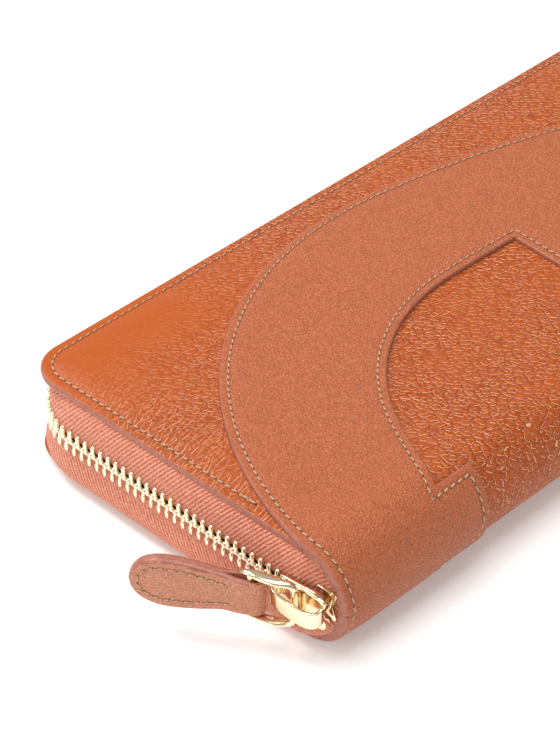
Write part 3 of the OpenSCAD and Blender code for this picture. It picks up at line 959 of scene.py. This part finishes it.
def make_tape(side):
    """One zip tape: a woven strip from under the leather's edge to the teeth. At both ends
    it narrows into the spine's bend, where the two tapes meet."""
    name = NAME[side]
    thick = 0.6
    rib_height = 0.055
    ring_step = 0.26
    bend_radius = 11.3
    pull_in = 0.28
    lifted = 0.95
    line = curve(TAPE_CURVE[side], 18)
    step = np.diff(line, axis=0, prepend=line[:1])
    width = np.cumsum(np.linalg.norm(step, axis=1))
    ahead = np.gradient(line, axis=0)
    ahead /= np.linalg.norm(ahead, axis=1)[:, None]
    outward = np.column_stack((-ahead[:, 1], ahead[:, 0]))
    back = line - outward * thick
    ring_line = np.vstack((line, back[::-1]))
    ring_width = np.concatenate((width, width[::-1]))
    rib_side = np.vstack((outward, outward[::-1] * 0))
    flat_root = smooth(ring_line[:, 1], 10.6, 9.2)
    rings = []
    values = []
    for run in np.arange(-TAIL, 2 * HALF_RUN + TAIL + 0.01, ring_step):
        wave = np.sin((run - RIB_SLANT * ring_width) * 2 * math.pi / RIB_PITCH)
        raised = rib_height * wave * flat_root
        place = ring_line + rib_side * raised[:, None]
        beyond = max(-run, run - 2 * HALF_RUN)
        past = max(beyond, 0)
        squeeze = math.sqrt(1 - (past / bend_radius) ** 2)
        out = place[:, 0] - pull_in * past
        closed = lifted * smooth(beyond, -2.5, 1.0) * (1 - smooth(place[:, 1], 1.0, 5.0))
        up = side * (place[:, 1] - closed) * squeeze
        rings.append(zip_place(np.full(len(out), run), out, up))
        values.extend((run, w, 0) for w in ring_width)
    tape = Shape()
    tape.tube(rings, side > 0, values)
    put(tape, name + "_tape", [TAPE], "zip_tape", name + "_cover", name + "_zip_tape", 70,
        "weave")


def tooth_rings():
    """One tooth as sections (half length along the zip, low out, high out, height)."""
    return [
        (0.24, 0.85, 2.05, 3.05), (0.42, 0.6, 2.35, 2.95), (0.5, 0.5, 2.5, 2.7),
        (0.5, 0.5, 2.55, 1.5), (0.42, 0.62, 2.45, 1.0), (0.36, 0.7, 2.3, 0.72),
        (0.52, 0.7, 2.35, 0.4), (0.58, 0.75, 2.4, 0.0), (0.52, 0.85, 2.3, -0.4),
        (0.3, 1.05, 2.05, -0.62),
    ]


def make_teeth(side, offset):
    name = NAME[side]
    row = Shape()
    for mark in np.arange(offset, 2 * HALF_RUN - 0.8, TOOTH_PITCH):
        rings = []
        for half, low, high, height in tooth_rings():
            section = rounded(half, (high - low) / 2, 0.28, 2)
            out = (low + high) / 2 + section[:, 1]
            rings.append(zip_place(mark + section[:, 0], out, side * height))
        row.tube(rings, side < 0)
    put(row, name + "_teeth", [TEETH], "zip_metal", name + "_cover", name + "_zip_teeth", 50)


def block(shape, low, high, radius):
    """A block with rounded edges, given by its low and high corners."""
    low = np.array(low, float)
    high = np.array(high, float)
    centre = (low + high) / 2
    half = (high - low) / 2
    radius = min(radius, half.min() * 0.95)
    rings = []
    for k in range(5):
        angle = math.pi / 2 * k / 4
        grow = radius * (1 - math.sin(angle))
        level = -half[2] + radius * (1 - math.cos(angle))
        rings.append((grow, level))
    rings = rings + [(grow, -level) for grow, level in reversed(rings)]
    loops = []
    for grow, level in rings:
        flat = rounded(half[0] - grow, half[1] - grow, max(radius - grow, 0.02), 3)
        loops.append(np.column_stack((flat, np.full(len(flat), level))) + centre)
    shape.tube(loops)


def cad_block(node, piece, body, material, slot, radius=0.15, sharp=38):
    """A strip or plate with rounded edges in the place of a CAD node."""
    low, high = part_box(node)
    move = np.array((SHIFT_X, SHIFT_Y, 0))
    shape = Shape()
    block(shape, np.array(low) / MM - move, np.array(high) / MM - move, radius)
    put(shape, piece, [material], slot, body, node, sharp)


def make_stops():
    for body, node in (("front_cover", "front_top_stop"), ("back_cover", "back_top_stop"),
                       ("back_cover", "zip_bottom_stop")):
        cad_block(node, node + "_plate", body, TEETH, "zip_metal", 0.4, 50)


# ---- The slider and its leather pull ----

# BAR_OUT is where the bail passes through the crown. BAIL_LEAN is the bail's angle out from
# the side and TAB_LEAN the leather tab's, which hangs TAB_SAG below the pin's middle.
slider_low, slider_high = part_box("zip_slider")
SLIDER_Y = (slider_low.y + slider_high.y) / 2 / MM - SHIFT_Y
SLIDER_L = (slider_high.y - slider_low.y) / MM
pin_low, pin_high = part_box("pull_pin")
PIN_OUT = -END_X - ((pin_low.x + pin_high.x) / 2 / MM - SHIFT_X)
PIN_Y = (pin_low.y + pin_high.y) / 2 / MM - SHIFT_Y
BAR_OUT = 5.0
BAIL_LEAN = math.atan2(PIN_OUT - BAR_OUT, PIN_Y - SLIDER_Y)
TAB_LEAN = math.radians(30)
TAB_SAG = 0.3


def outside_point(out, y, height):
    """Wallet point from its distance outside the slider end of the covers."""
    return np.column_stack((-END_X - np.asarray(out, float), np.asarray(y, float),
                            MID + np.asarray(height, float)))


def shield(inset):
    """Outline of a slider plate as (y, height), wide where the two rows enter."""
    half = SLIDER_L / 2
    top = [(half - 0.1, 0.0), (half - 0.35, 1.9), (half - 1.6, 3.1), (half - 3.6, 3.35),
           (0.8, 3.55), (-1.6, 4.05), (-4.4, 4.2), (-half + 1.0, 4.0), (-half + 0.1, 3.2),
           (-half + 0.75, 1.4), (-half + 1.3, 0.0)]
    line = curve(top, 34)
    whole = np.vstack((line, line[-2:0:-1] * (1, -1)))
    reach = np.linalg.norm(whole, axis=1)[:, None]
    return whole * (1 - inset / reach)


def make_slider():
    metal = Shape()
    for levels in (((2.6, 0.3), (2.72, 0.06), (3.0, 0.0), (3.3, 0.02), (3.46, 0.14),
                    (3.58, 0.45), (3.64, 1.1)),
                   ((-0.95, 0.5), (-0.88, 0.18), (-0.7, 0.03), (-0.4, 0.0), (-0.12, 0.08),
                    (0.0, 0.3))):
        rings = []
        for out, inset in levels:
            outline = shield(inset)
            rings.append(outside_point(np.full(len(outline), out), SLIDER_Y + outline[:, 0],
                                       outline[:, 1]))
        metal.tube(rings, True)

    # Flanges fold in from both plates along their long sides and guide the teeth
    for low_out, high_out in ((1.95, 2.9), (-0.4, 0.55)):
        for end in (1, -1):
            path = curve([(-5.9, 3.78), (-3.6, 3.9), (-1.2, 3.7), (1.5, 3.25), (4.4, 3.05),
                          (6.2, 2.7)], 16)
            rings = []
            for y, height in path:
                section = rounded((high_out - low_out) / 2, 0.32, 0.2, 3)
                rings.append(outside_point((low_out + high_out) / 2 + section[:, 0],
                                           np.full(len(section), SLIDER_Y + y),
                                           end * (height + section[:, 1])))
            metal.tube(rings, end > 0)

    # The divider joins the two plates between the rows of teeth
    block(metal, (-END_X - 2.8, SLIDER_Y - 5.6, MID - 0.75),
          (-END_X + 0.2, SLIDER_Y - 3.6, MID + 0.75), 0.3)

    # The crown arches over the plate and holds the bail
    path = curve([(-6.0, 3.0), (-6.45, 4.4), (-6.05, 5.8), (-4.6, 6.6), (-2.0, 6.85),
                  (1.5, 6.8), (4.4, 6.5), (5.9, 5.6), (6.3, 4.3), (5.9, 3.0)], 44)
    line = outside_point(path[:, 1], SLIDER_Y + path[:, 0], 0 * path[:, 0])
    share = np.linspace(-1, 1, len(path))
    sections = [rounded(0.42 + 0.16 * abs(s) ** 3, 2.15 - 0.35 * abs(s) ** 2.5, 0.3, 4)
                for s in share]
    ahead = np.gradient(path, axis=0)
    normals = np.column_stack((-ahead[:, 0], -ahead[:, 1], 0 * ahead[:, 0]))
    metal.tube(sweep(line, sections, normals))
    put(metal, "slider_body", [GOLD], "pull_metal", "zip_slider", "zip_slider", 40)


def bail_point(along, height, aside=0.0):
    """Point in the bail's own plane, along it from the bar in the crown."""
    out = BAR_OUT + along * math.sin(BAIL_LEAN) + aside * math.cos(BAIL_LEAN)
    y = SLIDER_Y + along * math.cos(BAIL_LEAN) - aside * math.sin(BAIL_LEAN)
    return (-END_X - out, y, MID + height)


def make_bail():
    """The bail is a fork bent from one bar, its arms tapering to the leather pull's pin."""
    bail = Shape()
    half = [(0.0, 0.0), (0.0, 2.0), (0.0, 3.6), (0.5, 4.9), (2.0, 5.45), (4.6, 5.6),
            (7.4, 5.65), (9.8, 5.6), (11.2, 5.4), (12.2, 5.1)]
    arm = curve(half, 40)
    whole = np.vstack((arm[::-1] * (1, -1), arm[1:]))
    path = [bail_point(a, h, 0.55 * math.sin(min(a / 9.8, 1.0) * math.pi)) for a, h in whole]
    lean = (-math.cos(BAIL_LEAN), -math.sin(BAIL_LEAN), 0.0)
    sections = []
    for a, _ in whole:
        wide = np.interp(a, (0, 1.5, 4.0, 8.0, 11.0, 12.4), (0.78, 1.0, 1.45, 1.35, 0.8, 0.2))
        thick = np.interp(a, (0, 1.5, 4.0, 11.0, 12.4), (0.78, 0.72, 0.62, 0.5, 0.18))
        angles = np.linspace(0, 2 * math.pi, 14, endpoint=False)
        sections.append(np.column_stack((wide * np.cos(angles), thick * np.sin(angles))))
    bail.tube(sweep(path, sections, [lean] * len(path)))
    put(bail, "bail_frame", [GOLD], "pull_metal", "pull_bail", "pull_bail", 60)

    pin = Shape()
    rings = []
    angles = np.linspace(0, 2 * math.pi, 18, endpoint=False)
    for height, radius in ((-6.0, 0.3), (-5.95, 0.7), (-5.6, 0.92), (-3.0, 0.92), (0, 0.92),
                           (3.0, 0.92), (5.6, 0.92), (5.95, 0.7), (6.0, 0.3)):
        rings.append(outside_point(PIN_OUT - radius * np.cos(angles),
                                   PIN_Y + radius * np.sin(angles),
                                   np.full(18, height)))
    pin.tube(rings)
    put(pin, "bail_pin", [GOLD], "pull_metal", "pull_bail", "pull_pin", 50)


def tab_point(u, v, h, side):
    """Place on the leather tab: u from the pin to the tip, h out of its face."""
    u = np.asarray(u, float)
    neck = 0.75 * (1 - smooth(u, 1.5, 6.5))
    level = side * (h + neck)
    bow = 0.5 * smooth(u, 4, 26)
    out = PIN_OUT + u * math.sin(TAB_LEAN) + (level + bow) * math.cos(TAB_LEAN)
    y = PIN_Y + u * math.cos(TAB_LEAN) - (level + bow) * math.sin(TAB_LEAN)
    return outside_point(out, y, -np.asarray(v, float) - TAB_SAG)


def make_tab():
    """Two layers of leather, folded round the pin, glued and sewn in a leaf shape."""
    upper = curve([(-0.4, 4.4), (3.0, 4.5), (6.5, 4.95), (11.0, 5.8), (16.0, 6.35),
                   (20.0, 6.15), (23.3, 4.8), (25.3, 2.6), (26.0, 0.0)], 44)
    rim = np.vstack((upper * (1, -1), upper[::-1][1:]))
    tab = Shape()
    sewing = Shape()
    thick = 1.5
    sewn_in = 2.1
    sewn_from = 4.4
    for side in (1, -1):
        sections = [("cut", rim), ("seam", [rim[-1], rim[0]])]
        panel(tab, sections, side, 0.0, thick, sewn_in, edge_radius=0.75, grid=1.2,
              place=tab_point)
        inner = offset_path(rim, sewn_in)
        inner = inner[inner[:, 0] > sewn_from]
        loop = np.vstack((inner, [(sewn_from, inner[-1][1]), (sewn_from, inner[0][1])]))
        length = np.linalg.norm(np.diff(loop, axis=0), axis=1).sum()
        pitch = length / round(length / STITCH_PITCH)
        stitches(sewing, loop, side, thick - 0.03, start=0.05, pitch=pitch,
                 length=pitch - 0.35, place=tab_point)

    # The fold round the pin
    path = []
    for angle in np.radians(np.linspace(-2, 182, 22)):
        along = -0.4 - 2.3 * math.sin(angle)
        level = 1.64 * math.cos(angle)
        out = PIN_OUT + along * math.sin(TAB_LEAN) + level * math.cos(TAB_LEAN)
        y = PIN_Y + along * math.cos(TAB_LEAN) - level * math.sin(TAB_LEAN)
        path.append((-END_X - out, y, MID - TAB_SAG))
    hub = np.array((-END_X - PIN_OUT, PIN_Y, MID - TAB_SAG))
    normals = [np.array(p) - hub for p in path]
    tab.tube(sweep(path, [rounded(0.62, 4.38, 0.45, 4)] * len(path), normals))
    put(tab, "tab_leather", [TAB_SKIN, PAINT], "smooth_leather", "pull_tab", "pull_tab", 40)
    put(sewing, "tab_stitches", [THREAD], "smooth_leather", "pull_tab", None, 60, "along")


make_tape(1)
make_tape(-1)
make_teeth(1, 0.8)
make_teeth(-1, 0.8 + TOOTH_PITCH / 2)
make_stops()
make_slider()
make_bail()
make_tab()


# ---- Inside: lining, padding, card slots, coin pocket and gussets ----

# Heights from the mid plane: INSIDE_W and LINING_W are the lining's two faces, BACKING_W the
# far face of the card panel. SLOT is the thickness of its layers.
LINING_W = 8.9
INSIDE_W = 8.5
BACKING_W = 3.9
SLOT = 0.4
COIN_TOP = 36.0


def level_place(side, level, facing):
    """Flat layers of one half: h is measured from level, inwards where facing is -1."""
    def place(u, v, h, _):
        u = np.asarray(u, float)
        height = level + facing * np.asarray(h, float)
        return np.column_stack((u, SPINE_Y + np.asarray(v, float), MID + side * height))
    return place


def rectangle(x0, y0, x1, y1, near=1.0, far=1.0):
    """Closed outline with corner radii near at y0 and far at y1, y in wallet places."""
    v0 = y0 - SPINE_Y
    v1 = y1 - SPINE_Y
    points = arc((x1 - near, v0 + near), near, -90, 0, 6).tolist()
    points += arc((x1 - far, v1 - far), far, 0, 90, 10).tolist()
    points += arc((x0 + far, v1 - far), far, 90, 180, 10).tolist()
    points += arc((x0 + near, v0 + near), near, 180, 270, 6).tolist()
    return points + [points[0]]


def make_lining(side):
    name = NAME[side]
    inset = 2.6
    outline = rectangle(-END_X + inset, SPINE_Y + 0.5, END_X - inset, ZIP_Y - inset, 1.0,
                        ZIP_R - inset)
    lining = Shape()
    place = level_place(side, INSIDE_W, -1)
    panel(lining, [("rim", outline)], -side, INSIDE_W - LINING_W, 0.0, 3.2, grid=4.0,
          rim_radius=0.3, puff=0.25, paint=0, skirt=1.72, place=place)
    body = name + "_cover"
    put(lining, name + "_lining_sheet", [LINING], "lining_leather", body, name + "_lining")
    sewing = Shape()
    stitches(sewing, offset_path(np.array(outline), 3.2), -side, 0.0, place=place)
    put(sewing, name + "_lining_stitches", [THREAD], "lining_leather", body, None, 60,
        "along")

    # The padding fills the crown of the cover over the flat board
    def padding_place(u, v, h, half):
        raised = np.asarray(h, float) - padding(u, v, half) * (1 - smooth(h, -2.2, -1.3))
        return cover_point(u, v, raised, half)
    foam = Shape()
    panel(foam, [("cut", outline)], side, -2.2, -1.22, 2.5, grid=4.0, groove=0.0, paint=0,
          place=padding_place)
    thing = put(foam, name + "_padding", [FOAM], "foam", body, name + "_foam")

    # The shell's own lining turns round the spine with the leather
    inner = Shape()
    reach = 95.0
    edge = 3.0
    turn = [("seam", [(-reach, SEAM), (reach, SEAM)]),
            ("cut", [(reach, SEAM), (reach, edge), (-reach, edge), (-reach, SEAM)])]
    panel(inner, turn, side, -1.8, -1.22, 2.0, grid=2.4, groove=0.0, paint=0)
    thing = inner.piece(name + "_spine_lining_half", [LINING], "lining_leather")
    across_spine(thing, side)
    if side > 0:
        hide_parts("spine_lining")


def make_cards(side):
    """Card slots: a backing and three stepped pockets, sewn at both ends and the middle."""
    name = NAME[side]
    tiers = (("backing", BACKING_W - SLOT, 42.0), ("tier_upper", 3.1, 34.0),
             ("tier_middle", 2.7, 22.0), ("tier_lower", 2.3, 10.0))
    half_width = 84.0
    foot_y = -35.0
    inset = 2.0
    for tier, level, top in tiers:
        slot = Shape()
        outline = rectangle(-half_width, foot_y, half_width, top, 2.0, 3.0)
        place = level_place(side, level, -1)
        panel(slot, [("cut", outline)], -side, -SLOT, 0.0, inset, edge_radius=0.15,
              grid=5.0, groove=0.04, place=place)
        put(slot, name + "_card_" + tier + "_leather", [INNER, PAINT], "inner_leather",
            name + "_cover", name + "_card_" + tier)

    # Each tier is sewn along its top, and down to the top of the next one at three places
    sewing = Shape()
    end = half_width - inset
    feet = [top + SLOT for _, _, top in tiers[1:]] + [foot_y + inset]
    for (_, level, top), foot in zip(tiers, feet):
        place = level_place(side, level, -1)
        lines = [((-end, top - inset), (end, top - inset))]
        lines += [((x, foot), (x, top - 2.6)) for x in (-end, 0.0, end)]
        for line in lines:
            stitches(sewing, np.array(line) - (0, SPINE_Y), -side, 0.0, radius=0.17,
                     place=place)
    put(sewing, name + "_card_stitches", [THREAD], "inner_leather", name + "_cover", None,
        60, "along")


def make_gusset(side, end):
    """A bellows of lining leather between a cover and the coin pocket."""
    name = NAME[side]
    node = name + ("_gusset_left" if end < 0 else "_gusset_right")
    deep = 93.6
    back = -35.0
    front = 38.0
    fold = curve([(deep, 8.45), (92.6, 7.6), (88.0, 6.6), (85.9, 5.4), (88.0, 4.2),
                  (92.6, 3.2), (deep, 2.35)], 25)
    ahead = np.gradient(fold, axis=0)
    ahead /= np.linalg.norm(ahead, axis=1)[:, None]
    aside = np.column_stack((-ahead[:, 1], ahead[:, 0])) * 0.22
    ring = np.vstack((fold + aside, (fold - aside)[::-1]))
    rings = []
    for y in np.linspace(back, front, 26):
        near = 1 - smooth(y, back, front)
        depth = deep - (deep - ring[:, 0]) * (1 - 0.25 * near)
        rings.append(np.column_stack((end * depth, np.full(len(ring), y),
                                      MID + side * ring[:, 1])))
    shape = Shape()
    shape.tube(rings, side * end < 0)
    thing = shape.piece(node + "_bellows", [LINING], "lining_leather", 60)
    if side > 0:
        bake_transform(thing)
    else:
        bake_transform(thing)
    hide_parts(node)


def make_coin_pocket():
    """Two leather walls about a base and two side strips, all fixed to the spine."""
    end = 94.0
    foot = -44.0
    half_gap = 1.5
    for side, wall in ((1, "front"), (-1, "back")):
        outline = rectangle(-end, foot, end, COIN_TOP, 3.0, 3.0)
        place = level_place(side, half_gap, 1)
        shape = Shape()
        panel(shape, [("cut", outline)], side, 0.0, 0.5, 2.4, edge_radius=0.2, grid=5.0,
              groove=0.05, place=place)
        put(shape, "coin_" + wall + "_wall_leather", [INNER, PAINT], "inner_leather",
            "spine", "coin_pocket_" + wall + "_wall")
        sewing = Shape()
        stitches(sewing, offset_path(np.array(outline), 2.4), side, 0.5, radius=0.17,
                 place=place)
        put(sewing, "coin_" + wall + "_wall_stitches", [THREAD], "inner_leather", "spine",
            None, 60, "along")
    cad_block("coin_pocket_base", "coin_base_strip", "spine", LINING, "lining_leather")
    strips = Shape()
    for low_x, high_x in ((-end, -93.2), (93.2, end)):
        block(strips, (low_x, foot, MID - half_gap), (high_x, COIN_TOP, MID + half_gap), 0.2)
    put(strips, "coin_side_gussets", [LINING], "lining_leather", "spine",
        "coin_pocket_side_strips")


def make_coin_zip():
    """The inner zip along the pocket's top, with smaller teeth than the outer one's."""
    tape_reach = 88.0
    teeth_reach = 80.0
    pitch = 2.5
    half_scale = 0.31
    rise_scale = 0.49
    tapes = Shape()
    for side in (1, -1):
        rings = []
        values = []
        section = rounded(1.3, 0.25, 0.2, 3) + (COIN_TOP + 0.35, 1.75)
        for x in np.arange(-tape_reach, tape_reach + 0.01, 0.5):
            ripple = 0.05 * math.sin(x * 2 * math.pi / 1.3)
            height = section[:, 1] + ripple * (section[:, 1] > 1.75)
            rings.append(np.column_stack((np.full(len(section), x), section[:, 0],
                                          MID + side * height)))
            values.extend((x, y, 0) for y in section[:, 0])
        tapes.tube(rings, side < 0, values)
    put(tapes, "coin_tapes", [TAPE], "zip_tape", "spine", "coin_zip_tapes", 60, "weave")

    teeth = Shape()
    for side, offset in ((1, 0.0), (-1, pitch / 2)):
        for mark in np.arange(-teeth_reach + offset, teeth_reach, pitch):
            rings = []
            for half, low, high, height in tooth_rings():
                section = rounded(half, (high - low) * half_scale, 0.2, 2)
                y = COIN_TOP + (low + high) * half_scale + section[:, 1]
                z = np.full(len(section), MID + side * height * rise_scale)
                rings.append(np.column_stack((mark + section[:, 0], y, z)))
            teeth.tube(rings, side > 0)
    put(teeth, "coin_teeth", [TEETH], "zip_metal", "spine", "coin_zip_teeth", 50)

    slider = Shape()
    middle = -70.0
    for y0, y1 in ((35.1, 35.8), (38.2, 39.0)):
        block(slider, (middle - 4.0, y0, MID - 2.4), (middle + 4.0, y1, MID + 2.4), 0.3)
    block(slider, (middle - 3.6, 35.4, MID - 0.4), (middle - 2.6, 38.6, MID + 0.4), 0.15)
    path = curve([(middle - 3.3, 38.6), (middle - 3.4, 39.9), (middle - 2.6, 40.8),
                  (middle - 0.2, 41.0), (middle + 1.4, 40.5), (middle + 1.9, 38.6)], 22)
    line = np.column_stack((path, np.full(len(path), MID)))
    count = len(path)
    slider.tube(sweep(line, [rounded(0.28, 0.9, 0.2, 3)] * count, [(0.0, 0.0, 1.0)] * count))
    put(slider, "coin_slider_body", [GOLD], "pull_metal", "coin_slider", "coin_slider", 45)

    pull = Shape()
    pull_y = 39.9
    edge = curve([(-71.6, 1.35), (-69.0, 1.3), (-65.0, 1.25), (-60.0, 1.55), (-56.0, 1.8),
                  (-53.9, 1.2), (-53.3, 0.0)], 26)
    rim = np.vstack(([(-72.3, 0.0)], edge, edge[::-1][1:] * (1, -1)))
    away = rim - (-63.0, 0.0)
    away /= np.linalg.norm(away, axis=1)[:, None]
    rings = []
    for level, inset in ((-0.45, 0.25), (-0.3, 0.06), (0.0, 0.0), (0.3, 0.06), (0.45, 0.25)):
        flat = rim - away * inset
        rings.append(np.column_stack((flat[:, 0], np.full(len(flat), pull_y + level),
                                      MID + flat[:, 1])))
    pull.tube(rings)
    put(pull, "coin_pull_plate", [GOLD], "pull_metal", "coin_pull", "coin_pull", 45)


for cover_side in (1, -1):
    make_lining(cover_side)
    make_cards(cover_side)
    half_name = NAME[cover_side]
    cad_block(half_name + "_bill_base", half_name + "_bill_base_strip", half_name + "_cover",
              LINING, "lining_leather")
    for gusset_end in (-1, 1):
        make_gusset(cover_side, gusset_end)
make_coin_pocket()
make_coin_zip()


# The stiffener boards keep their CAD shape and take a fibre board finish
for node_name in ("front_board", "back_board"):
    for material_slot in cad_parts[node_name].material_slots:
        material_slot.material = BOARD

# ---- Floor, light and camera ----

def make_floor():
    mesh = bpy.data.meshes.new("floor")
    reach = 3.0
    mesh.from_pydata([(-reach, -reach, 0), (reach, -reach, 0), (reach, reach, 0),
                      (-reach, reach, 0)], [], [(0, 1, 2, 3)])
    mesh.materials.append(floor_shade())
    floor = bpy.data.objects.new("floor", mesh)
    bpy.context.collection.objects.link(floor)


make_floor()
light_scene()
place_camera()
